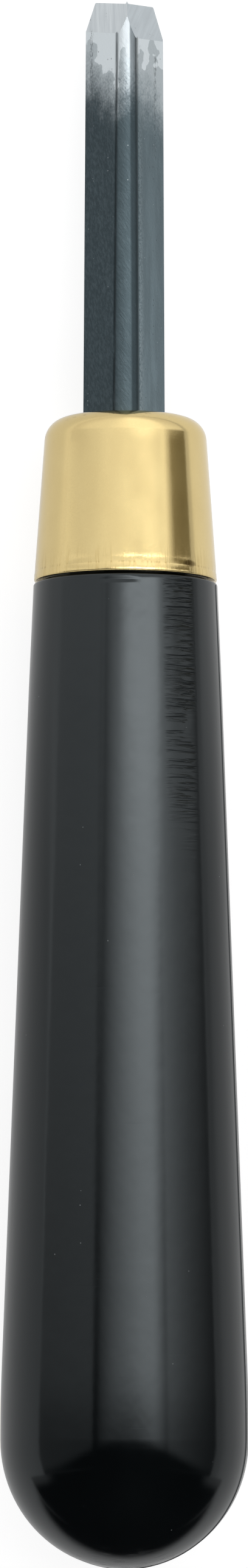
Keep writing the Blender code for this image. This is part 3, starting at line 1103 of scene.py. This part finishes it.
room = {
    "brightest": 5.5,
    "warmLoss": (0.1, 0.4),  # how much less green and blue a warm panel has
    # degrees from overhead to the left (-) and right (+), brightness, and warmth where it has any
    "overHandle": ((-34.5, 0.74), (-32.5, 0.10), (-29, 0.12), (-27, 0.50), (-4, 2.3), (12, 3.4), (23, 3.6),
                   (27, 3.0), (33.5, 1.5), (35.5, 1.1), (38, 1.85), (53, 1.24), (66, 0.78), (88, 0.27)),
    "overFerrule": ((-95, 0.52), (-70, 0.555), (-45, 0.63), (-30, 0.72), (-4, 0.72), (14, 0.58), (46, 0.75),
                    (52, 0.82), (64, 0.145, 1), (77, 0.12, 1), (88, 0.13, 1)),
    "overCrown": ((-95, 0.64), (-30, 0.74), (5, 1.03), (35, 1.02), (52, 0.93), (62, 0.74), (88, 0.64)),
    "behind": ((-95, 0.46), (-45, 0.52), (-12, 0.78), (6, 1.12), (24, 1.12), (34, 0.72), (60, 0.36),
               (95, 0.28)),
    # towards the ferrule, in turn: degrees and their soft edge, how far ahead, share, brightness
    "touches": (
        ((25, 37, 4), (0.14, 0.215), 1.0, 3.4),  # the bright panel is wider
        ((-5, 36, 9), (0.205, 0.245), 1.0, 5.0),  # and brighter
        ((-34, -28, 2), (0.10, 0.21), 1.0, 0.72),  # the dark gap on its left closes
        ((58, 84, 8), (0.12, 0.18), 0.55, 1.35),  # the right side is lighter
    ),
    "ferruleAhead": (0.244, 0.262),
    "crownAhead": (0.31, 0.46),
    "rightSide": (45, 60),
    "rightShift": 0.04,  # the brass's right side sees less far ahead
    "spotDegrees": (8, 40, 14),
    "spotAhead": (0.33, 0.44, 0.03),
    "spotLevel": 1.1,
    "dimming": (0.0, 0.25, 0.30, 1.48),  # towards the butt it is dimmer
    "buttArch": 0.45,
    "buttDark": (-0.04, 0.13),  # and dark past its end
    "lowLevel": (0.86, 0.86, 0.86),  # low down ahead and on the left it runs into the floor
    "lowUp": (0.0, 0.40),
    "lowAhead": (0.42, 0.65),
    "lowLeft": (-0.1, 0.4),
    "lowLeftAhead": (0.25, 0.33),
    "behindFrom": (-0.44, -0.36),
    "behindBrighter": (-0.60, -0.52),
    "behindShare": 1.75,
}


def grey(level, warmth=0):
    share = level / room["brightest"]
    lessGreen, lessBlue = room["warmLoss"]
    return share, share * (1 - lessGreen * warmth), share * (1 - lessBlue * warmth)


def panels(tree, share, stops):
    ramp = addNode(tree, "ShaderNodeValToRGB", {"Fac": share})
    elements = ramp.color_ramp.elements
    for degrees, *level in stops:
        elements.new(0.5 + degrees / 360).color = (*grey(*level), 1)
    elements.remove(elements[-1])
    elements.remove(elements[0])
    return ramp.outputs["Color"]


def brighten(tree, colour, level):
    return addNode(tree, "ShaderNodeVectorMath", {0: colour, "Scale": level}, operation="SCALE").outputs[0]


def makeWorld():
    world = bpy.data.worlds.new("studio")
    bpy.context.scene.world = world
    world.use_nodes = True
    tree = world.node_tree
    coords = addNode(tree, "ShaderNodeTexCoord", {})
    split = addNode(tree, "ShaderNodeSeparateXYZ", {"Vector": coords.outputs["Generated"]})
    x, y, z = split.outputs["X"], split.outputs["Y"], split.outputs["Z"]
    angle = calc(tree, "DEGREES", calc(tree, "ARCTAN2", x, z))
    share = calc(tree, "MULTIPLY_ADD", angle, 1 / 360, 0.5)
    colour = panels(tree, share, room["overHandle"])
    for degrees, reach, strength, level in room["touches"]:
        touched = both(tree, band(tree, angle, *degrees), fade(tree, y, *reach))
        colour = paint(tree, colour, (touched, strength, grey(level)))
    ahead = calc(tree, "ADD", y, fade(tree, angle, *room["rightSide"], 0.0, room["rightShift"]))
    zones = ((room["ferruleAhead"], room["overFerrule"]), (room["crownAhead"], room["overCrown"]))
    for reach, stops in zones:
        colour = blend(tree, fade(tree, ahead, *reach), colour, panels(tree, share, stops))
    spot = both(tree, band(tree, angle, *room["spotDegrees"]), band(tree, y, *room["spotAhead"]))
    colour = paint(tree, colour, (spot, 1.0, grey(room["spotLevel"])))
    level = calc(tree, "MULTIPLY", slide(tree, y, *room["dimming"]), room["brightest"])
    colour = brighten(tree, colour, level)
    arch = calc(tree, "MULTIPLY_ADD", both(tree, x, x), room["buttArch"], y)
    past = fadeOut(tree, arch, *room["buttDark"])
    colour = blend(tree, past, colour, (hood["dark"],) * 3)
    onLeft = both(tree, fade(tree, y, *room["lowLeftAhead"]), fadeOut(tree, x, *room["lowLeft"]))
    low = calc(tree, "MAXIMUM", onLeft, fade(tree, y, *room["lowAhead"]))
    low = both(tree, low, fadeOut(tree, z, *room["lowUp"]))
    colour = blend(tree, low, colour, room["lowLevel"])
    # panels behind the butt, which show where the tool is seen from its cutting end
    level = slide(tree, y, *room["behindBrighter"], room["behindShare"], 1.0)
    level = calc(tree, "MULTIPLY", level, room["brightest"])
    behind = brighten(tree, panels(tree, share, room["behind"]), level)
    colour = blend(tree, fadeOut(tree, y, *room["behindFrom"]), colour, behind)
    # plain white where the camera looks past the floor
    path = addNode(tree, "ShaderNodeLightPath", {})
    seen = calc(tree, "MAXIMUM", path.outputs["Is Camera Ray"], path.outputs["Is Transmission Ray"])
    tree.links.new(blend(tree, seen, colour, (1, 1, 1)), tree.nodes["Background"].inputs["Color"])


# camera

view = {
    "distance": 600.0,
    "aim": 75.9,  # from the butt, along the axis
    "aimRight": -0.12,
    "tilt": math.radians(5.5),  # of the tool's axis, the cutting edge away from the camera
    "lean": math.radians(4.0),  # camera to the left of the keel
    "roll": math.radians(0.064),
    "frameHeight": 152.8,
    "sensor": 36.0,
    "clipStart": 0.01,
}


def makeCamera():
    overKeel = keelSide * math.cos(view["lean"]) - sideways * math.sin(view["lean"])
    toCamera = overKeel * math.cos(view["tilt"]) - toolAxis * math.sin(view["tilt"])
    up = (toolAxis - toCamera * toolAxis.dot(toCamera)).normalized()
    right = up.cross(toCamera)
    aim = buttPoint + (toolAxis * view["aim"] + right * view["aimRight"]) * mm
    data = bpy.data.cameras.new("camera")
    camera = bpy.data.objects.new("camera", data)
    bpy.context.scene.collection.objects.link(camera)
    data.sensor_width = view["sensor"]
    data.lens = view["sensor"] * view["distance"] / view["frameHeight"]
    data.clip_start = view["clipStart"]
    camera.location = aim + toCamera * view["distance"] * mm
    camera.rotation_euler = Matrix((right, up, toCamera)).transposed().to_euler()
    camera.rotation_euler.rotate_axis("Z", view["roll"])
    bpy.context.scene.camera = camera


makeHandle()
makeFerrule()
makeBlade()
makeWedge()
makeFloor()
makeHood()
makeWorld()
makeCamera()
bpy.context.scene.view_settings.view_transform = "Standard"
print("studio ready")
